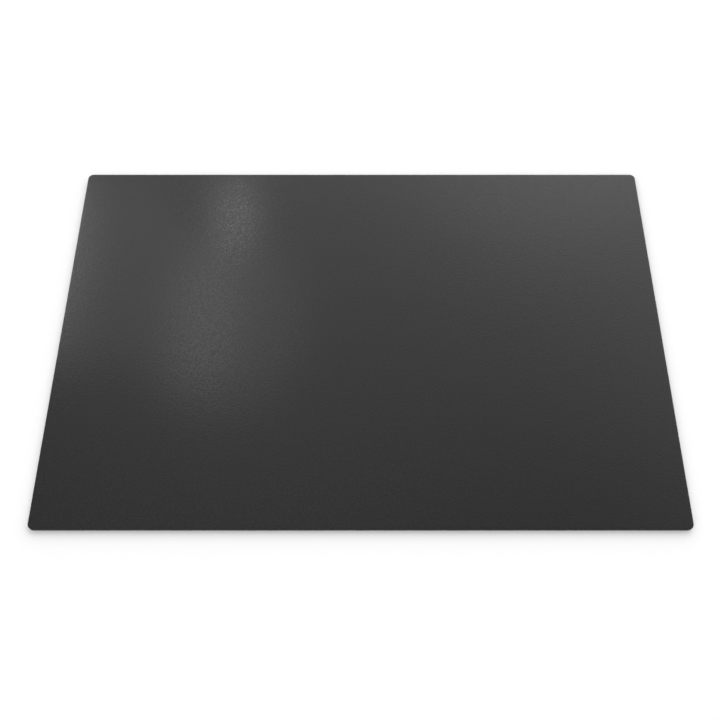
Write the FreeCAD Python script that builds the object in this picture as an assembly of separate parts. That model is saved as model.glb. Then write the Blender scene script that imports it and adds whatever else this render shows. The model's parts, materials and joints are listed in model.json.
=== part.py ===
"""A self-healing cutting mat: five plies pressed into one 3 mm sheet and die-cut to a trade size.

From the bench up, the plies are an embossed film, a soft healing ply, a stiff core, a second
healing ply and a second embossed film, so the mat is the same with either face up. Each ply is
one solid, in its own file. Lengths are in millimetres. The origin is the middle of the
underside, +X runs along the long side, +Y along the short side, and +Z is up.
"""
import FreeCAD, Part
import os

# The cut sheet
INCH = 25.4
MAT_LENGTH = 18 * INCH      # along X
MAT_WIDTH = 12 * INCH       # along Y
CORNER_RADIUS = 4.0         # the die's corners, seen from above
RIM_ROUND = 0.2             # how far the die rolls the outer rim of a film over

# The plies
FILM_THICK = 0.3            # hard-wearing embossed film, on both faces
HEALING_THICK = 0.9         # soft ply that closes up behind a blade
CORE_THICK = 0.6            # stiff ply that stops the blade and keeps the sheet flat

TOLERANCE = 1e-6            # lengths that differ by less than this are the same


def is_upright(edge):
    """True if the edge is a vertical line."""
    box = edge.BoundBox
    return box.XLength < TOLERANCE and box.YLength < TOLERANCE


def is_level_at(edge, height):
    """True if the whole edge lies at that height."""
    box = edge.BoundBox
    return abs(box.ZMin - height) < TOLERANCE and abs(box.ZMax - height) < TOLERANCE


def plate(bottom, thick):
    """A plate with the mat's outline, standing on the height called bottom."""
    corner = FreeCAD.Vector(-MAT_LENGTH / 2, -MAT_WIDTH / 2, bottom)
    blank = Part.makeBox(MAT_LENGTH, MAT_WIDTH, thick, corner)
    upright_edges = [edge for edge in blank.Edges if is_upright(edge)]
    return blank.makeFillet(CORNER_RADIUS, upright_edges)


def film(bottom, outer_height):
    """A surface film, whose rim is rolled over at the face that is outermost in the mat."""
    sheet = plate(bottom, FILM_THICK)
    rim = [edge for edge in sheet.Edges if is_level_at(edge, outer_height)]
    return sheet.makeFillet(RIM_ROUND, rim)


def build_plies():
    """Every ply by name, stacked face to face from the bench up."""
    lower_healing_bottom = FILM_THICK
    core_bottom = lower_healing_bottom + HEALING_THICK
    upper_healing_bottom = core_bottom + CORE_THICK
    top_film_bottom = upper_healing_bottom + HEALING_THICK
    work_face = top_film_bottom + FILM_THICK
    return {
        "bottom_surface_film": film(0, outer_height=0),
        "lower_healing_ply": plate(lower_healing_bottom, HEALING_THICK),
        "stiff_core_ply": plate(core_bottom, CORE_THICK),
        "upper_healing_ply": plate(upper_healing_bottom, HEALING_THICK),
        "top_surface_film": film(top_film_bottom, outer_height=work_face),
    }


def export(plies):
    """Writes one STEP file for each ply and prints the ply's size."""
    os.makedirs("parts", exist_ok=True)
    for name, solid in plies.items():
        if not solid.isValid() or len(solid.Solids) != 1:
            raise ValueError(f"{name} isn't one valid solid")
        solid.exportStep(f"parts/{name}.step")
        box = solid.optimalBoundingBox()
        size = f"{box.XLength:.1f} x {box.YLength:.1f} mm, z {box.ZMin:.2f} to {box.ZMax:.2f} mm"
        print(f"{name}: {size}, volume {solid.Volume / 1000:.1f} cm3")


export(build_plies())
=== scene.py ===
"""A plain charcoal self-healing mat, lying on a white studio floor.

Each packed ply is replaced by a closed mesh of the same size that also has what pressing and
die-cutting leave on a real mat: a sheet that is a little thinner in places, film rims that the
die rolls over, and soft plies that stand proud of the stiff one at the cut edge, with a fine
line where two plies meet. The embossed grain and the marks of the cut are in the materials.
Lengths are in metres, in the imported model's own frame.
"""

import json
import math

import bpy
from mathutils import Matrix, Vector, noise


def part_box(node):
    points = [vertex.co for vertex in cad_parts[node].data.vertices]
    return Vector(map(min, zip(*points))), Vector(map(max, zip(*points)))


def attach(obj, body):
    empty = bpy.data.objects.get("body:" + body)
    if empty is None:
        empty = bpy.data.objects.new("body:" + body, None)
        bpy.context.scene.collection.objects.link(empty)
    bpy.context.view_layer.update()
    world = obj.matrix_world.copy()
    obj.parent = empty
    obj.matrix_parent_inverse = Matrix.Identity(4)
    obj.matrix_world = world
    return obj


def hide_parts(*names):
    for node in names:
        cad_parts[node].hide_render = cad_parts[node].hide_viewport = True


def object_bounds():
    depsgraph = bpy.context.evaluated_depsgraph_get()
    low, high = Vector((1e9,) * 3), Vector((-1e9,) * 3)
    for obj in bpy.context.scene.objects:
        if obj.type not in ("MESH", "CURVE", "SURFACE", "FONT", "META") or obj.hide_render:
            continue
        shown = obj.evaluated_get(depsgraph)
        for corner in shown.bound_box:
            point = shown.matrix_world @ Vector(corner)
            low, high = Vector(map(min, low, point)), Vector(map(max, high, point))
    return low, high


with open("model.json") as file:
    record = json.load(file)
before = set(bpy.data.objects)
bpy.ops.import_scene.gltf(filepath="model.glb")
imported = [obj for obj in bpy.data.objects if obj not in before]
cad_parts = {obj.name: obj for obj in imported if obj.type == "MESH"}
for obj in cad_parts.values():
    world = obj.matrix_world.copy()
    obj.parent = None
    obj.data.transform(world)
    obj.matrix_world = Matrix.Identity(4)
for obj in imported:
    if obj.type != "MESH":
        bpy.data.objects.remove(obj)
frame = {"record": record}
CAD_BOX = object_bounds()

MM = 0.001
MAT_LENGTH = CAD_BOX[1].x - CAD_BOX[0].x
MAT_WIDTH = CAD_BOX[1].y - CAD_BOX[0].y

# The cut outline and the mesh that fills it
CORNER_RADIUS = 4.0 * MM
CORNER_SHARES = (0.3, 0.6, 0.7, 0.8, 0.9, 1.0)   # grid lines across a corner, as shares of its radius
GRID_PITCH = 4.0 * MM
ROUND_STEPS = 4

# The cut edge of each kind of ply: how far it stands back, bulges and is rounded
FILM_ROUND = 0.2 * MM
PLY_LINE = 0.03 * MM
CORE_BACK = 0.05 * MM
HEALING_CROWN = 0.04 * MM

# The pressed sheet's unevenness
THIN_MOST = 0.02            # the thinnest place, as a share of the sheet's thickness
THIN_LENGTH = 90 * MM       # from one thin place to the next, along the press rollers
THIN_WIDTH = 60 * MM
ROLL_WIDTH = 1.6 * MM       # how far in from its rim the die bends the sheet down
ROLL_DROP = 0.012           # how far down at the rim, as a share of the height

# The film's face: fine pebbles pressed into a faint mottle, whose high places are shinier; its colour has
# painted highlight on the high places and painted shade in the low ones
MOTTLE_SIZE = 1.3 * MM
MOTTLE_DETAIL = 2.5
MOTTLE_LOW = 0.3            # the values of the noise at the lowest places
MOTTLE_HIGH = 0.7           # and at the highest
MOTTLE_DEPTH = 0.02 * MM
MOTTLE_PAINTED_LIGHT_AND_SHADE = 0.35         # painted highlight on high places and painted shade on low ones: how far they are from the film's colour, as a share of it
MOTTLE_ROUGHNESS = 0.14     # how far high and low places are from the film's roughness
PEBBLE_SIZE = 0.6 * MM
PEBBLE_CREASE = 0.8         # how far from a pebble's top its crease is, as a share of the pebble's size
PEBBLE_DEPTH = 0.01 * MM
FILM_ROUGHNESS = 0.15

# The cut edge, left dull by the blade
UPRIGHT_MOST = 0.2          # a face is cut edge where the upright part of its normal is at most this
LEVEL_LEAST = 0.6           # and one of the ply's level faces where it is at least this
FILM_CUT_ROUGHNESS = 0.5
HEALING_ROUGHNESS = 0.55
CORE_ROUGHNESS = 0.6
CUT_SPECULAR = 0.2          # the inner plies are porous and reflect little
STROKE_WIDTH = 0.5 * MM
STROKE_DETAIL = 3.0
STROKE_STRETCH = (1, 1, 0.05)   # the blade's strokes are long and upright
STROKE_DEPTH = 0.06 * MM
STROKE_ROUGHNESS = 0.08
SPECKLE_SIZE = 0.2 * MM
SPECKLE_SHADE = 0.4


# ---------------------------------------------------------------- meshes

def axis_lines(side):
    """Grid lines across a side of the mat: close together in the corners, evenly spaced between."""
    flat = side / 2 - CORNER_RADIUS
    count = math.ceil(2 * flat / GRID_PITCH)
    middle = [-flat + 2 * flat * step / count for step in range(count + 1)]
    corner = [flat + CORNER_RADIUS * share for share in CORNER_SHARES]
    return [-line for line in reversed(corner)] + middle + corner


def corner_core(x, y):
    """The nearest place that is a corner radius or more in from the mat's sides."""
    return Vector((
        math.copysign(min(abs(x), MAT_LENGTH / 2 - CORNER_RADIUS), x),
        math.copysign(min(abs(y), MAT_WIDTH / 2 - CORNER_RADIUS), y),
    ))


def rounded(x, y):
    """Moves a point of the rectangular grid into the rounded outline. Only the corners change."""
    core = corner_core(x, y)
    over_x = abs(x - core.x)
    over_y = abs(y - core.y)
    reach = max(over_x, over_y)
    if reach == 0:
        return core
    turn = math.pi / 4 * min(over_x, over_y) / reach
    if over_y > over_x:
        turn = math.pi / 2 - turn
    return core + reach * Vector((math.copysign(math.cos(turn), x), math.copysign(math.sin(turn), y)))


def inset(x, y, distance):
    """The point of the rounded outline at (x, y), moved inwards by a distance."""
    edge = rounded(x, y)
    outwards = (edge - corner_core(x, y)).normalized()
    return edge - outwards * distance


def settled(height, x, y):
    """A height in the stack, lowered where the sheet is pressed thin or bent down at its rim."""
    uneven = (1 + noise.noise(Vector((x / THIN_LENGTH, y / THIN_WIDTH, 0)))) / 2
    from_rim = CORNER_RADIUS - (Vector((x, y)) - corner_core(x, y)).length
    bend = max(0, 1 - from_rim / ROLL_WIDTH) ** 2
    return height * (1 - THIN_MOST * uneven - ROLL_DROP * bend)


def edge_profile(bottom, top, round_bottom, round_top, stand_back=0, crown=0):
    """A ply's cut edge as (inset, height) points, from the lower face to the upper one."""
    turns = [math.pi / 2 * step / ROUND_STEPS for step in range(ROUND_STEPS + 1)]
    lower = [
        (round_bottom * (1 - math.sin(turn)), bottom + round_bottom * (1 - math.cos(turn)))
        for turn in turns
    ]
    upper = [
        (round_top * (1 - math.cos(turn)), top - round_top * (1 - math.sin(turn)))
        for turn in turns
    ]
    middle = (bottom + top) / 2
    half = (top - bottom) / 2
    return [
        (stand_back + back + crown * ((height - middle) / half) ** 2, height)
        for back, height in lower + [(0, middle)] + upper
    ]


def round_the_grid(columns, rows):
    """The (column, row) of each outer grid point, anticlockwise seen from above."""
    south = [(column, 0) for column in range(columns - 1)]
    east = [(columns - 1, row) for row in range(rows - 1)]
    north = [(column, rows - 1) for column in range(columns - 1, 0, -1)]
    west = [(0, row) for row in range(rows - 1, 0, -1)]
    return south + east + north + west


def build_ply(name, profile):
    """A closed mesh of one ply, with the given cut edge."""
    lines_x = axis_lines(MAT_LENGTH)
    lines_y = axis_lines(MAT_WIDTH)
    columns = len(lines_x)
    rows = len(lines_y)
    outer = round_the_grid(columns, rows)
    vertices = []
    faces = []

    def add_face_grid(back, height):
        """Adds the points of one flat face and returns the index of the first."""
        first = len(vertices)
        for row, y in enumerate(lines_y):
            for column, x in enumerate(lines_x):
                on_rim = column in (0, columns - 1) or row in (0, rows - 1)
                point = inset(x, y, back) if on_rim else rounded(x, y)
                vertices.append((point.x, point.y, settled(height, point.x, point.y)))
        return first

    def add_ring(back, height):
        """Adds one ring of points round the cut edge and returns their indices."""
        first = len(vertices)
        for column, row in outer:
            point = inset(lines_x[column], lines_y[row], back)
            vertices.append((point.x, point.y, settled(height, point.x, point.y)))
        return list(range(first, len(vertices)))

    lower = add_face_grid(*profile[0])
    rings = [add_ring(back, height) for back, height in profile[1:-1]]
    upper = add_face_grid(*profile[-1])
    for row in range(rows - 1):
        for column in range(columns - 1):
            corner = row * columns + column
            square = (corner, corner + 1, corner + 1 + columns, corner + columns)
            faces.append([upper + index for index in square])
            faces.append([lower + index for index in reversed(square)])
    lower_rim = [lower + row * columns + column for column, row in outer]
    upper_rim = [upper + row * columns + column for column, row in outer]
    rings = [lower_rim] + rings + [upper_rim]
    for below, above in zip(rings, rings[1:]):
        for here in range(len(outer)):
            after = (here + 1) % len(outer)
            faces.append([below[here], below[after], above[after], above[here]])

    mesh = bpy.data.meshes.new(name)
    mesh.from_pydata(vertices, [], faces)
    mesh.shade_smooth()
    piece = bpy.data.objects.new(name, mesh)
    bpy.context.scene.collection.objects.link(piece)
    return piece


def replace_ply(node, material, **edge):
    """Builds the visible mesh of one packed ply, says what it stands for and returns it."""
    low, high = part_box(node)
    piece = build_ply(node + "_mesh", edge_profile(low.z, high.z, **edge))
    piece.data.materials.append(material)
    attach(piece, "root")
    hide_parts(node)
    return piece


# ---------------------------------------------------------------- materials


def colour_of(slot):
    """The record's base colour for a material slot."""
    return next(entry["base_color"][:3] for entry in frame["record"]["materials"] if entry["slot"] == slot)


class Shader:
    """A material's node tree, with short calls for the nodes that the materials here share."""

    def __init__(self, name):
        self.material = bpy.data.materials.new(name)
        self.material.use_nodes = True
        self.tree = self.material.node_tree
        self.surface = self.tree.nodes["Principled BSDF"]
        self.place = self.tree.nodes.new("ShaderNodeTexCoord").outputs["Object"]

    def connect(self, value, socket):
        """Feeds a socket from another node's output, or sets it to a plain value."""
        if isinstance(value, bpy.types.NodeSocket):
            self.tree.links.new(value, socket)
        else:
            socket.default_value = value

    def stretched(self, scale):
        """The place on the object, stretched before a texture reads it."""
        node = self.tree.nodes.new("ShaderNodeMapping")
        self.connect(self.place, node.inputs["Vector"])
        node.inputs["Scale"].default_value = scale
        return node.outputs["Vector"]

    def noise(self, feature, place=None, detail=2.0):
        """Cloudy noise from 0 to 1, with features of that size."""
        node = self.tree.nodes.new("ShaderNodeTexNoise")
        self.connect(place or self.place, node.inputs["Vector"])
        node.inputs["Scale"].default_value = 1 / feature
        node.inputs["Detail"].default_value = detail
        return node.outputs["Fac"]

    def pebbles(self, feature):
        """Rounded cells of that size, 1 at their tops and 0 in the creases between them."""
        node = self.tree.nodes.new("ShaderNodeTexVoronoi")
        self.connect(self.place, node.inputs["Vector"])
        node.inputs["Scale"].default_value = 1 / feature
        return self.between(node.outputs["Distance"], 1.0, 0.0, from_high=PEBBLE_CREASE)

    def between(self, value, low, high, from_low=0.0, from_high=1.0):
        """A value mapped linearly from one range to another."""
        node = self.tree.nodes.new("ShaderNodeMapRange")
        self.connect(value, node.inputs["Value"])
        node.inputs["From Min"].default_value = from_low
        node.inputs["From Max"].default_value = from_high
        node.inputs["To Min"].default_value = low
        node.inputs["To Max"].default_value = high
        return node.outputs["Result"]

    def shade(self, colour, brightness):
        """A colour multiplied by a brightness."""
        node = self.tree.nodes.new("ShaderNodeVectorMath")
        node.operation = "SCALE"
        node.inputs[0].default_value = colour
        self.connect(brightness, node.inputs["Scale"])
        return node.outputs["Vector"]

    def mix(self, share, first, second):
        """first where share is 0 and second where it is 1."""
        node = self.tree.nodes.new("ShaderNodeMix")
        self.connect(share, node.inputs["Factor"])
        self.connect(first, node.inputs["A"])
        self.connect(second, node.inputs["B"])
        return node.outputs["Result"]

    def bump(self, height, depth, under=None):
        """Relief of that depth, on top of any relief under it."""
        node = self.tree.nodes.new("ShaderNodeBump")
        node.inputs["Distance"].default_value = depth
        self.connect(height, node.inputs["Height"])
        if under:
            self.connect(under, node.inputs["Normal"])
        return node.outputs["Normal"]

    def cut_edge(self):
        """1 on the upright faces that the die leaves and 0 on the level ones."""
        geometry = self.tree.nodes.new("ShaderNodeNewGeometry")
        parts = self.tree.nodes.new("ShaderNodeSeparateXYZ")
        self.connect(geometry.outputs["Normal"], parts.inputs["Vector"])
        level = self.tree.nodes.new("ShaderNodeMath")
        level.operation = "ABSOLUTE"
        self.connect(parts.outputs["Z"], level.inputs[0])
        return self.between(level.outputs["Value"], 1.0, 0.0, from_low=UPRIGHT_MOST, from_high=LEVEL_LEAST)

    def finish(self, colour, roughness, normal):
        """Feeds the surface shader and returns the finished material."""
        self.connect(colour, self.surface.inputs["Base Color"])
        self.connect(roughness, self.surface.inputs["Roughness"])
        self.connect(normal, self.surface.inputs["Normal"])
        return self.material


def film_material():
    """Charcoal vinyl with a pebbled, faintly mottled satin face and a dull cut edge. The mottle's colour
    has painted shade in its low places and painted highlight on its high ones.
    """
    shader = Shader("embossed_film")
    mottle = shader.noise(MOTTLE_SIZE, detail=MOTTLE_DETAIL)
    mottle = shader.between(mottle, 0.0, 1.0, from_low=MOTTLE_LOW, from_high=MOTTLE_HIGH)
    # painted shade in the mottle's low places and painted highlight on its high places, multiplied into
    # the film's colour
    brightness = shader.between(mottle, 1 - MOTTLE_PAINTED_LIGHT_AND_SHADE, 1 + MOTTLE_PAINTED_LIGHT_AND_SHADE)
    colour = shader.shade(colour_of("surface_film"), brightness)
    rough_lows = FILM_ROUGHNESS + MOTTLE_ROUGHNESS
    shiny_highs = FILM_ROUGHNESS - MOTTLE_ROUGHNESS
    satin = shader.between(mottle, rough_lows, shiny_highs)
    relief = shader.bump(mottle, MOTTLE_DEPTH)
    relief = shader.bump(shader.pebbles(PEBBLE_SIZE), PEBBLE_DEPTH, under=relief)
    return shader.finish(colour, shader.mix(shader.cut_edge(), satin, FILM_CUT_ROUGHNESS), relief)


def cut_vinyl_material(slot, roughness):
    """The die-cut edge of an inner ply: dull, speckled with filler and lined by the blade."""
    shader = Shader("cut_" + slot)
    strokes = shader.noise(STROKE_WIDTH, place=shader.stretched(STROKE_STRETCH), detail=STROKE_DETAIL)
    speckle = shader.between(shader.noise(SPECKLE_SIZE), 1 - SPECKLE_SHADE, 1 + SPECKLE_SHADE)
    colour = shader.shade(colour_of(slot), speckle)
    dull = shader.between(strokes, roughness - STROKE_ROUGHNESS, roughness + STROKE_ROUGHNESS)
    relief = shader.bump(strokes, STROKE_DEPTH)
    shader.surface.inputs["Specular IOR Level"].default_value = CUT_SPECULAR
    return shader.finish(colour, dull, relief)


# ---------------------------------------------------------------- studio

FLOOR_SIDE = 8.0
FLOOR_WHITE = 0.914
FLOOR_ROUGHNESS = 0.8

# The camera looks along +Y and down, at a point near the middle of the mat
CAMERA_LENS = 44.9          # in millimetres
CAMERA_DISTANCE = 0.677
CAMERA_TILT = math.radians(62.92)
CAMERA_AIM = Vector((0.0034, -0.0207, 0))
CAMERA_SHIFT = -0.0078      # sideways, as a share of the picture's width


def build_floor():
    """A plain white floor that the mat lies on."""
    half = FLOOR_SIDE / 2
    corners = [(-half, -half, 0), (half, -half, 0), (half, half, 0), (-half, half, 0)]
    mesh = bpy.data.meshes.new("floor")
    mesh.from_pydata(corners, [], [(0, 1, 2, 3)])
    floor = bpy.data.objects.new("floor", mesh)
    bpy.context.scene.collection.objects.link(floor)
    material = bpy.data.materials.new("white_floor")
    material.use_nodes = True
    surface = material.node_tree.nodes["Principled BSDF"]
    surface.inputs["Base Color"].default_value = (FLOOR_WHITE, FLOOR_WHITE, FLOOR_WHITE, 1)
    surface.inputs["Roughness"].default_value = FLOOR_ROUGHNESS
    mesh.materials.append(material)


def build_camera():
    """A camera of normal focal length above the front of the mat."""
    lens = bpy.data.cameras.new("camera")
    lens.lens = CAMERA_LENS
    lens.shift_x = CAMERA_SHIFT
    camera = bpy.data.objects.new("camera", lens)
    back = Vector((0, -math.cos(CAMERA_TILT), math.sin(CAMERA_TILT)))
    camera.location = CAMERA_AIM + back * CAMERA_DISTANCE
    camera.rotation_euler = (math.pi / 2 - CAMERA_TILT, 0, 0)
    bpy.context.scene.collection.objects.link(camera)
    bpy.context.scene.camera = camera


def compass(azimuth, elevation):
    """The direction at that azimuth, from +Y towards +X, and elevation, both in degrees."""
    turn = math.radians(azimuth)
    rise = math.radians(elevation)
    level = math.cos(rise)
    return Vector((level * math.sin(turn), level * math.cos(turn), math.sin(rise)))


# The tent's own brightness all round, the least that is left where a source takes light away, and
# how bright the camera sees the tent
TENT_BRIGHTNESS = 0.556
TENT_DARKEST = 0.05
BACKDROP_WHITE = 1.0

# Each soft source of the tent: the azimuth and elevation of its middle and how far it reaches, all in
# degrees, and how much it adds there to the tent's own brightness, or takes away if it is negative
TENT_SOURCES = {
    "rear_panel": (16, 46, 11, 0.57),
    "rear_wall": (9, 12, 83, 2.45),
    "dark_ceiling": (-26, 68, 53, -1.485),
    "front_panel": (224, 61, 60, 1.14),
}

# Each small oval softbox over the mat: the place of its middle, its width, its depth and its
# radiance. The two spills are the weaker light round a softbox. They hang a little above it,
# because at one height the two would hide each other's light.
SOFTBOX_HEIGHT = 0.6
SPILL_HEIGHT = 0.62
SOFTBOXES = {
    "far_softbox": (-0.209, 0.555, SOFTBOX_HEIGHT, 0.062, 0.16, 2.1),
    "near_softbox": (-0.242, 0.362, SOFTBOX_HEIGHT, 0.105, 0.25, 0.7),
    "near_spill": (-0.222, 0.365, SPILL_HEIGHT, 0.26, 0.33, 0.4),
    "left_softbox": (-0.5, 0.47, SOFTBOX_HEIGHT, 0.12, 0.38, 1.34),
    "left_spill": (-0.45, 0.46, SPILL_HEIGHT, 0.34, 0.38, 0.36),
}


def build_tent():
    """Light from all round, as in a white tent with a bright panel behind and a dark ceiling."""
    world = bpy.data.worlds.new("tent")
    bpy.context.scene.world = world
    world.use_nodes = True
    nodes = world.node_tree.nodes
    links = world.node_tree.links
    direction = nodes.new("ShaderNodeTexCoord").outputs["Generated"]
    total = nodes.new("ShaderNodeValue").outputs["Value"]
    total.default_value = TENT_BRIGHTNESS
    for azimuth, elevation, reach, added in TENT_SOURCES.values():
        facing = nodes.new("ShaderNodeVectorMath")
        facing.operation = "DOT_PRODUCT"
        links.new(direction, facing.inputs[0])
        facing.inputs[1].default_value = compass(azimuth, elevation)
        patch = nodes.new("ShaderNodeMapRange")
        patch.interpolation_type = "SMOOTHSTEP"
        links.new(facing.outputs["Value"], patch.inputs["Value"])
        patch.inputs["From Min"].default_value = math.cos(math.radians(reach))
        patch.inputs["To Max"].default_value = added
        summed = nodes.new("ShaderNodeMath")
        links.new(total, summed.inputs[0])
        links.new(patch.outputs["Result"], summed.inputs[1])
        total = summed.outputs["Value"]
    lit = nodes.new("ShaderNodeMath")
    lit.operation = "MAXIMUM"
    links.new(total, lit.inputs[0])
    lit.inputs[1].default_value = TENT_DARKEST
    seen = nodes.new("ShaderNodeMix")
    links.new(nodes.new("ShaderNodeLightPath").outputs["Is Camera Ray"], seen.inputs["Factor"])
    links.new(lit.outputs["Value"], seen.inputs["A"])
    seen.inputs["B"].default_value = BACKDROP_WHITE
    links.new(seen.outputs["Result"], nodes["Background"].inputs["Strength"])
    nodes["Background"].inputs["Color"].default_value = (1, 1, 1, 1)


def build_softboxes(mat):
    """Small level softboxes above the mat, which leave soft streaks of light on its film.

    They light the mat alone. So the floor stays evenly white, with a faint shadow all round the mat.
    """
    lit = bpy.data.collections.new("lit_by_softboxes")
    for piece in mat:
        lit.objects.link(piece)
    for name, (x, y, height, width, depth, radiance) in SOFTBOXES.items():
        light = bpy.data.lights.new(name, "AREA")
        light.shape = "ELLIPSE"
        light.size = width
        light.size_y = depth
        area = math.pi / 4 * width * depth
        light.energy = radiance * math.pi * area
        lamp = bpy.data.objects.new(name, light)
        lamp.location = (x, y, height)
        lamp.visible_camera = False
        lamp.light_linking.receiver_collection = lit
        bpy.context.scene.collection.objects.link(lamp)


def build_studio(mat):
    """Floor, camera and lights round the pieces of the mat."""
    build_floor()
    build_camera()
    build_tent()
    build_softboxes(mat)
    bpy.context.scene.view_settings.view_transform = "Standard"


# ---------------------------------------------------------------- the mat

film = film_material()
healing = cut_vinyl_material("healing_vinyl", HEALING_ROUGHNESS)
core = cut_vinyl_material("core_vinyl", CORE_ROUGHNESS)
inner_rims = {"round_bottom": PLY_LINE, "round_top": PLY_LINE}
plies = [
    replace_ply("bottom_surface_film", film, round_bottom=FILM_ROUND, round_top=PLY_LINE),
    replace_ply("lower_healing_ply", healing, crown=HEALING_CROWN, **inner_rims),
    replace_ply("stiff_core_ply", core, stand_back=CORE_BACK, **inner_rims),
    replace_ply("upper_healing_ply", healing, crown=HEALING_CROWN, **inner_rims),
    replace_ply("top_surface_film", film, round_bottom=PLY_LINE, round_top=FILM_ROUND),
]
build_studio(plies)
